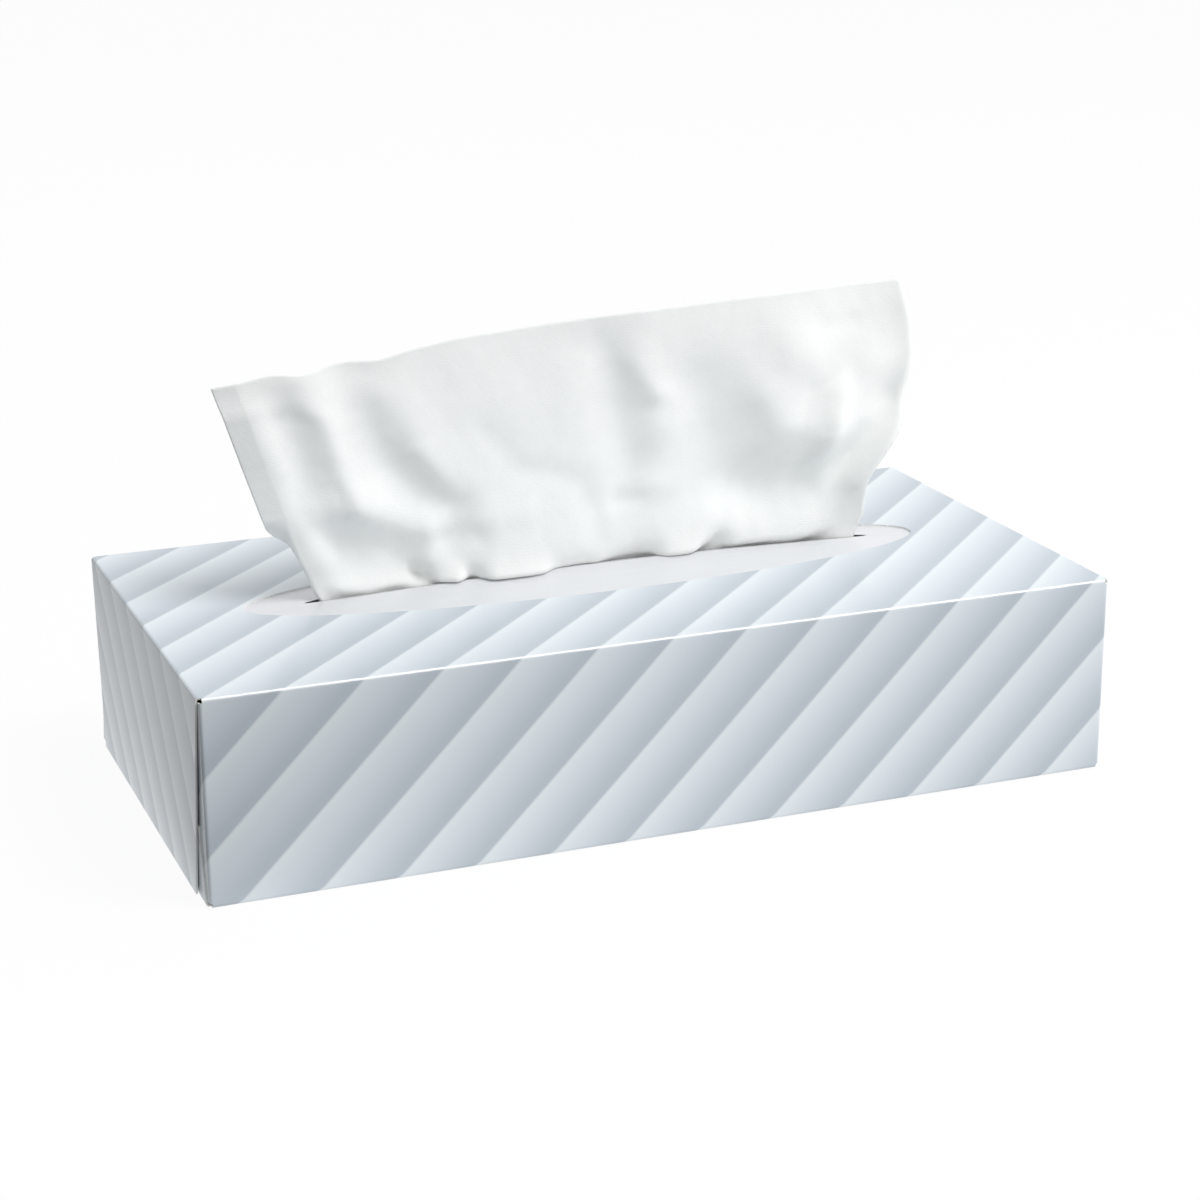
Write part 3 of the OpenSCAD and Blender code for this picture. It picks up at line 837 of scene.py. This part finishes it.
def slit_film(material):
    """Film glued under the top panel: rings from the slit out to the opening, then the flat margin."""
    angles = np.radians(np.arange(0, 360, FILM_TURN))
    cos, sin = np.cos(angles), np.sin(angles)
    slit = np.stack([SLIT_SHIFT + SLIT_HALF * cos, SLIT_BACK + SLIT_GAP / 2 * sin], 1)
    oval = np.stack([OPENING_LENGTH / 2 * cos, OPENING_WIDTH / 2 * sin], 1)
    edge = np.stack([
        (OPENING_LENGTH / 2 + FILM_MARGIN) * np.sign(cos) * np.abs(cos) ** FILM_CORNER,
        (OPENING_WIDTH / 2 + FILM_MARGIN) * np.sign(sin) * np.abs(sin) ** FILM_CORNER,
    ], 1)
    level = FILM_TOP - FILM / 2
    rings = []
    for share in np.linspace(0, 1, FILM_RINGS):
        lift = LIP_LIFT * sin ** 2 * (1 - share) ** LIP_FALL
        rings.append(np.column_stack([slit + (oval - slit) * share, level + lift]))
    for share in MARGIN_RINGS:
        rings.append(np.column_stack([oval + (edge - oval) * share, np.full(len(angles), level)]))
    piece = closed_sheet("slit_film_sheet", np.array(rings)[::-1], FILM, material, around=True)
    finish_piece(piece, "slit_film")
    return piece


def fold_push(place, path, width):
    """Rise of 0 to 1 along a path of straight lines, melding where the lines meet."""
    rises, weights = 0.0, FOLD_FLOOR
    for start, end in zip(path, path[1:]):
        line = end - start
        along = np.clip(((place - start) @ line) / (line @ line), 0.0, 1.0)
        away = np.linalg.norm(place - start - along[..., None] * line, axis=-1)
        rise = np.exp(-((away / width) ** 2))
        rises = rises + rise ** (FOLD_MELD + 1)
        weights = weights + rise ** FOLD_MELD
    return rises / weights


def plume_height(across):
    """Height of the top edge: a curve through the three heights, less the dip at the left."""
    left, middle, right = PLUME_HEIGHTS
    curve = left * (1 - across) * (1 - 2 * across) + middle * 4 * across * (1 - across)
    curve = curve + right * across * (2 * across - 1)
    fade = 1 - ease((across - EDGE_DIP_END[0]) / (EDGE_DIP_END[1] - EDGE_DIP_END[0]))
    return curve - fade * (EDGE_DIP + EDGE_WAVE * np.cos(2 * math.pi * across / EDGE_WAVE_LENGTH))


def fold_moves(across, up):
    """Moves of the sheet by all its folds: along x, towards the back, and up."""
    scale = np.array([PLUME_SPAN, PLUME_HEIGHTS[1]])
    place = np.stack([across, up], -1) * scale
    moves = np.zeros(place.shape[:2] + (3,))
    for depth, width, path in FOLDS:
        push = depth * fold_push(place, np.array(path) * scale, width)
        moves += push[..., None] * np.array(FOLD_OVERHANG if depth > OVERHANG_FROM else FOLD_PLAIN)
    return moves


def wrinkles(across, up):
    """Small uneven wrinkles, the longer ones higher."""
    chance = np.random.default_rng(WRINKLE_SEED)
    along, rise = across * PLUME_SPAN, up * PLUME_HEIGHTS[1]
    total = np.zeros_like(across)
    for _ in range(WRINKLES):
        length = chance.uniform(*WRINKLE_LENGTHS)
        turn = chance.normal(0.0, WRINKLE_TURN)
        phase = chance.uniform(0.0, 2 * math.pi)
        wave = (along * math.cos(turn) + rise * math.sin(turn)) * 2 * math.pi / length
        total += np.sin(wave + phase) * length * WRINKLE_SHARE
    return total


def wing_offset(length, turn, radius):
    """Outward and backward place on a margin that rolls round by the turn and then runs straight."""
    angle = np.radians(turn)
    turned = np.minimum(length / radius, angle)
    rest = np.maximum(length - radius * angle, 0.0)
    out = radius * np.sin(turned) + rest * np.cos(angle)
    behind = radius * (1 - np.cos(turned)) + rest * np.sin(angle)
    return out, behind


def margins(column, opened):
    """Outward and backward place of the two turned-back margins."""
    radius = WING_TUCK + (WING_ROLL - WING_TUCK) * opened
    left_turn = WING_SHUT_TURN + (WING_LEFT_TURN - WING_SHUT_TURN) * opened
    right_turn = WING_SHUT_TURN + (WING_RIGHT_TURN - WING_SHUT_TURN) * opened
    left = wing_offset(np.maximum(-column, 0) * WING_LEFT, left_turn, radius)
    right = wing_offset(np.maximum(column - 1, 0) * WING_RIGHT, right_turn, radius)
    return right[0] - left[0], right[1] + left[1]


def plume(up, column):
    """The part above the slit."""
    across = np.clip(column, 0.0, 1.0)
    left = -NECK_LEFT - FLARE_LEFT * up ** FLARE_LEFT_POWER
    right = NECK_RIGHT + sum(size * ease((up - low) / (high - low)) for size, low, high in FLARES_RIGHT)
    opened = ease(up / FOLD_OPEN)
    spread = ease((up - WING_OPEN[0]) / (WING_OPEN[1] - WING_OPEN[0]))
    inset = np.maximum(-column, 0) * WING_LEFT - np.maximum(column - 1, 0) * WING_RIGHT
    followed = across + inset * (1 - spread) / PLUME_SPAN
    moves = fold_moves(followed, up) * opened[..., None]
    out, behind = margins(column, spread)
    ripple = RIPPLE_DEPTH * np.sin(2 * math.pi * RIPPLES * across) * (1 - opened)
    x = left + (right - left) * across + out + moves[..., 0]
    y = PLUME_LEAN * up ** 2 + ripple + behind + moves[..., 1] + wrinkles(across, up) * opened
    drop = WING_LEFT_DROP * np.maximum(-column, 0) + WING_RIGHT_DROP * np.maximum(column - 1, 0)
    z = CARTON_HEIGHT + (plume_height(across) - drop) * up + moves[..., 2]
    return np.stack([x, y, z], -1)


def tail(down, column):
    """The part below the slit: straight neck, bend, then flat on the stack."""
    across = np.clip(column, 0.0, 1.0)
    spread = ease((down - NECK_LENGTH) / (BEND_LENGTH + TAIL_LENGTH))
    left = NECK_LEFT + (TAIL_HALF - NECK_LEFT) * spread
    right = NECK_RIGHT + (TAIL_HALF - NECK_RIGHT) * spread
    out, behind = margins(column, np.zeros_like(column))
    turn = np.clip((down - NECK_LENGTH) / TAIL_RADIUS, 0.0, math.pi / 2)
    flat = np.maximum(down - NECK_LENGTH - BEND_LENGTH, 0.0)
    ripple = RIPPLE_DEPTH * np.sin(2 * math.pi * RIPPLES * across) * (1 - ease(down / NECK_LENGTH))
    off = behind + ripple
    x = -left + (left + right) * across + out
    y = TAIL_RADIUS * (1 - np.cos(turn)) + flat + off * np.cos(turn)
    z = CARTON_HEIGHT - np.minimum(down, NECK_LENGTH) - TAIL_RADIUS * np.sin(turn) + off * np.sin(turn)
    return np.stack([x, y, z], -1)


def drawn_tissue(material):
    """One thin sheet: flat on the stack, up through the slit, and spread with its folds above it."""
    lefts, middles, rights = COLUMN_COUNTS
    columns = np.concatenate([
        np.linspace(-1, 0, lefts)[:-1], np.linspace(0, 1, middles), np.linspace(1, 2, rights)[1:],
    ])
    downs = np.concatenate([
        NECK_LENGTH + BEND_LENGTH + TAIL_LENGTH * np.linspace(1, 0, TAIL_ROWS)[:-1],
        NECK_LENGTH + BEND_LENGTH * np.linspace(1, 0, BEND_ROWS)[:-1],
        NECK_LENGTH * np.linspace(1, 0, NECK_ROWS)[:-1],
    ])
    ups = np.linspace(0, 1, PLUME_ROWS)
    low_column, low_down = np.meshgrid(columns, downs)
    high_column, high_up = np.meshgrid(columns, ups)
    grid = np.concatenate([tail(low_down, low_column), plume(high_up, high_column)])
    piece = closed_sheet("drawn_tissue", grid, TISSUE, material)
    run = np.minimum(columns, 0) * WING_LEFT + np.clip(columns, 0, 1) * PLUME_SPAN
    run = run + np.maximum(columns - 1, 0) * WING_RIGHT + WING_LEFT
    rise = np.concatenate([-downs, ups * PLUME_HEIGHTS[1]])
    flat = np.stack(np.meshgrid(run, rise), -1).reshape(-1, 2)
    lay_flat(piece, "sheet", np.concatenate([flat, flat]))
    finish_piece(piece, "pop_up_tissue")
    return piece


class Growth(Tree):
    """A Geometry Nodes tree with named inputs, put on a piece as a modifier."""

    def __init__(self, name, inputs):
        group = bpy.data.node_groups.new(name, "GeometryNodeTree")
        super().__init__(group)
        self.keys = {}
        group.interface.new_socket("Geometry", in_out="INPUT", socket_type="NodeSocketGeometry")
        for label, kind, _ in inputs:
            self.keys[label] = group.interface.new_socket(label, in_out="INPUT", socket_type=kind).identifier
        group.interface.new_socket("Geometry", in_out="OUTPUT", socket_type="NodeSocketGeometry")
        self.values = {label: value for label, _, value in inputs}
        self.source = group.nodes.new("NodeGroupInput")

    def input(self, label):
        return Socket(self, self.source.outputs[label])

    def output(self, geometry, material):
        solid = self.add("GeometryNodeRealizeInstances", None, {0: geometry})
        painted = self.add("GeometryNodeSetMaterial", None, {"Geometry": solid, "Material": material})
        self.add("NodeGroupOutput", None, {0: painted})

    def grow(self, piece):
        modifier = piece.modifiers.new(self.node_tree.name, "NODES")
        modifier.node_group = self.node_tree
        for label, value in self.values.items():
            modifier[self.keys[label]] = value
        return settle(piece)


def layer_section(thick):
    """Outline of one folded layer across the stack: round folded edge at one side, cut edge at the other."""
    reach = STACK_DEPTH / 2
    fold = reach - LAYER_FOLD_INSET
    cut, hollow = (inset - reach for inset in LAYER_CUT_INSETS)
    section = [(cut, 0.0), (fold, 0.0)]
    for angle in np.linspace(0, math.pi, LAYER_FOLD_STEPS)[1:-1]:
        section.append((fold + LAYER_FOLD_ROUND * math.sin(angle), thick / 2 - thick / 2 * math.cos(angle)))
    return section + [(fold, thick), (cut, thick), (hollow, thick / 2)]


def interfolded_stack(material):
    """Stack of folded sheets: one folded layer repeated up the stack, every other one turned round."""
    pitch = STACK_HEIGHT / STACK_LAYERS
    end = STACK_LENGTH / 2 - LAYER_END_INSET
    section = layer_section(pitch * LAYER_FILL)
    count = len(section)
    points = [(x, y, BOARD + z) for x in (-end, end) for y, z in section]
    faces = [(k, count + k, count + (k + 1) % count, (k + 1) % count) for k in range(count)]
    faces += [tuple(range(count)), tuple(range(2 * count - 1, count - 1, -1))]
    piece = mesh_piece("interfolded_stack", points, faces, [material], smooth=False)
    tree = Growth("interfolded_layers", [
        ("Layers", "NodeSocketInt", STACK_LAYERS),
        ("Layer pitch", "NodeSocketFloat", pitch * MM),
        ("Stagger", "NodeSocketFloat", LAYER_STAGGER * MM),
        ("Seed", "NodeSocketInt", LAYER_SEED),
    ])
    step = tree.vector({2: tree.input("Layer pitch")})
    spacing = {"Count": tree.input("Layers"), "Offset": step}
    line = tree.add("GeometryNodeMeshLine", {"mode": "OFFSET"}, spacing)
    index = tree.add("GeometryNodeInputIndex")
    turn = tree.vector({2: (index % 2.0) * math.pi})
    stagger = tree.input("Stagger")
    high = tree.vector({0: stagger, 1: stagger})
    low = tree.vector({0: 0.0 - stagger, 1: 0.0 - stagger})
    limits = {0: low, 1: high, 8: tree.input("Seed")}
    shift = tree.add("FunctionNodeRandomValue", {"data_type": "FLOAT_VECTOR"}, limits)
    moved = tree.add("GeometryNodeSetPosition", None, {"Geometry": line, "Offset": shift})
    layers = tree.add("GeometryNodeInstanceOnPoints", None, {
        "Points": moved, "Instance": tree.input("Geometry"), "Rotation": turn,
    })
    tree.output(layers, material)
    tree.grow(piece)
    return finish_piece(piece, "tissue_stack")


def torn_ties(material):
    """Stubs of the torn perforation, spaced round the oval's rim."""
    points, faces = prism(TIE_OUTLINE, *(-BOARD * depth for depth in TIE_DEPTHS))
    piece = mesh_piece("torn_ties", points, faces, [material], smooth=False)
    tree = Growth("torn_perforation", [
        ("Opening length", "NodeSocketFloat", OPENING_LENGTH * MM),
        ("Opening width", "NodeSocketFloat", OPENING_WIDTH * MM),
        ("Board top", "NodeSocketFloat", CARTON_HEIGHT * MM),
        ("Ties", "NodeSocketInt", TIE_COUNT),
        ("Seed", "NodeSocketInt", TIE_SEED),
    ])
    round_rim = {"Resolution": OPENING_STEPS, "Radius": 0.5}
    circle = tree.add("GeometryNodeCurvePrimitiveCircle", {"mode": "RADIUS"}, round_rim)
    spread = tree.vector({0: tree.input("Opening length"), 1: tree.input("Opening width"), 2: 1.0})
    lift = tree.vector({2: tree.input("Board top")})
    oval = tree.add("GeometryNodeTransform", None, {"Geometry": circle, "Translation": lift, "Scale": spread})
    spacing = {"Curve": oval, "Count": tree.input("Ties")}
    spots = tree.add("GeometryNodeCurveToPoints", {"mode": "COUNT"}, spacing)
    along = Socket(tree, spots.output.node.outputs["Tangent"])
    axes = {"axis": "X", "pivot_axis": "Z"}
    facing = tree.add("FunctionNodeAlignRotationToVector", axes, {"Vector": along})
    limits = {2: TIE_SIZES[0], 3: TIE_SIZES[1], 8: tree.input("Seed")}
    size = tree.add("FunctionNodeRandomValue", {"data_type": "FLOAT"}, limits, 1)
    stubs = tree.add("GeometryNodeInstanceOnPoints", None, {
        "Points": spots,
        "Instance": tree.input("Geometry"),
        "Rotation": facing,
        "Scale": tree.vector({0: size, 1: size, 2: 1.0}),
    })
    tree.output(stubs, material)
    tree.grow(piece)
    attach(piece, "root")
    return piece


def seen_background(tree):
    """Mask of the rays that see the white background: the camera's, and those through glass or off gloss."""
    rays = tree.add("ShaderNodeLightPath").output.node.outputs
    names = ("Is Camera Ray", "Is Transmission Ray", "Is Glossy Ray")
    return sum(Socket(tree, rays[name]) for name in names).clamp()


def studio_floor():
    """White floor that keeps a faint shadow; for the object it glows like a lamp, and that glow is painted
    dark to the left as shade.
    """
    finish = Finish("studio_floor")
    seen = seen_background(finish)
    place = finish.place()
    sideways = finish.axis(place, 0)
    inwards = finish.axis(place, 1)
    slant = CORNER_LINE[0] * sideways + CORNER_LINE[1] * inwards
    # Painted shade: the glow the object gets from the floor turns dark grey to the left of the carton
    unshaded_share = sideways.step(*FLOOR_FADE) * slant.step(*CORNER_FADE)
    pale = finish.between(finish.noise(place, FLOOR_CLOUD), FLOOR_WHITES)
    painted_shade_glow = finish.mix(unshaded_share, linear(*FLOOR_PAINTED_SHADE), pale)
    plain = finish.add("ShaderNodeBsdfDiffuse", None, {"Color": finish.mix(seen, painted_shade_glow, pale)})
    lit = finish.add("ShaderNodeEmission", None, {"Color": finish.mix(seen, painted_shade_glow, WHITE), "Strength": 1.0})
    share = seen * FLOOR_WHITE + (1 - seen) * FLOOR_GLOW
    shader = finish.add("ShaderNodeMixShader", None, {0: share, 1: plain, 2: lit})
    finish.add("ShaderNodeOutputMaterial", None, {"Surface": shader})
    square = ((-1, -1), (1, -1), (1, 1), (-1, 1))
    corners = [(x * FLOOR_HALF, y * FLOOR_HALF, FLOOR_LEVEL) for x, y in square]
    floor = mesh_piece("studio_floor", corners, [(0, 1, 2, 3)], [finish.material], smooth=False)


def studio_light():
    """Soft white surroundings, darker and cooler to the left, and one broad lamp from the upper right."""
    world = bpy.data.worlds.new("studio")
    world.use_nodes = True
    bpy.context.scene.world = world
    tree = Tree(world.node_tree)
    seen = seen_background(tree)
    rightness = tree.axis(tree.place("Generated"), 0).step(*SKY_FADE)
    level = SKY_LEVEL[0] + SKY_LEVEL[1] * rightness
    strength = level * (1 - seen) + seen
    tint = tree.mix((rightness + seen).clamp(), SKY_COOL, WHITE)
    surroundings = tree.add("ShaderNodeBackground", None, {"Color": tint, "Strength": strength})
    tree.add("ShaderNodeOutputWorld", None, {"Surface": surroundings})
    lamp = bpy.data.lights.new("key", "AREA")
    lamp.shape = "DISK"
    lamp.size = KEY_SIZE
    lamp.energy = KEY_POWER
    key = bpy.data.objects.new("key", lamp)
    bpy.context.scene.collection.objects.link(key)
    key.location = KEY_PLACE
    aim = -key.location
    key.rotation_euler = aim.to_track_quat("-Z", "Y").to_euler()


def camera():
    """Camera at the photograph's place."""
    az, el, roll = (math.radians(v) for v in (CAMERA_AZIMUTH, CAMERA_ELEVATION, CAMERA_ROLL))
    back = np.array([math.sin(az) * math.cos(el), -math.cos(az) * math.cos(el), math.sin(el)])
    right = np.array([math.cos(az), math.sin(az), 0.0])
    up = np.cross(back, right)
    turned = np.array([
        math.cos(roll) * right + math.sin(roll) * up,
        -math.sin(roll) * right + math.cos(roll) * up,
        back,
    ])
    place = np.array(CAMERA_PLACE) @ turned * MM
    data = bpy.data.cameras.new("photo_camera")
    data.lens = LENS
    data.sensor_width = SENSOR
    data.clip_start, data.clip_end = CAMERA_CLIP
    view = bpy.data.objects.new("photo_camera", data)
    bpy.context.scene.collection.objects.link(view)
    matrix = Matrix.Identity(4)
    for k in range(3):
        for j in range(3):
            matrix[j][k] = turned[k][j]
        matrix[k][3] = place[k]
    view.matrix_world = matrix
    bpy.context.scene.camera = view


bpy.context.scene.view_settings.view_transform = "Standard"
camera()
studio_light()
studio_floor()
edge_finish = board_edge_finish()
carton([printed_board_finish(), board_inside_finish(), edge_finish])
torn_ties(edge_finish)
interfolded_stack(stack_finish())
slit_film(film_finish())
drawn_tissue(tissue_finish())
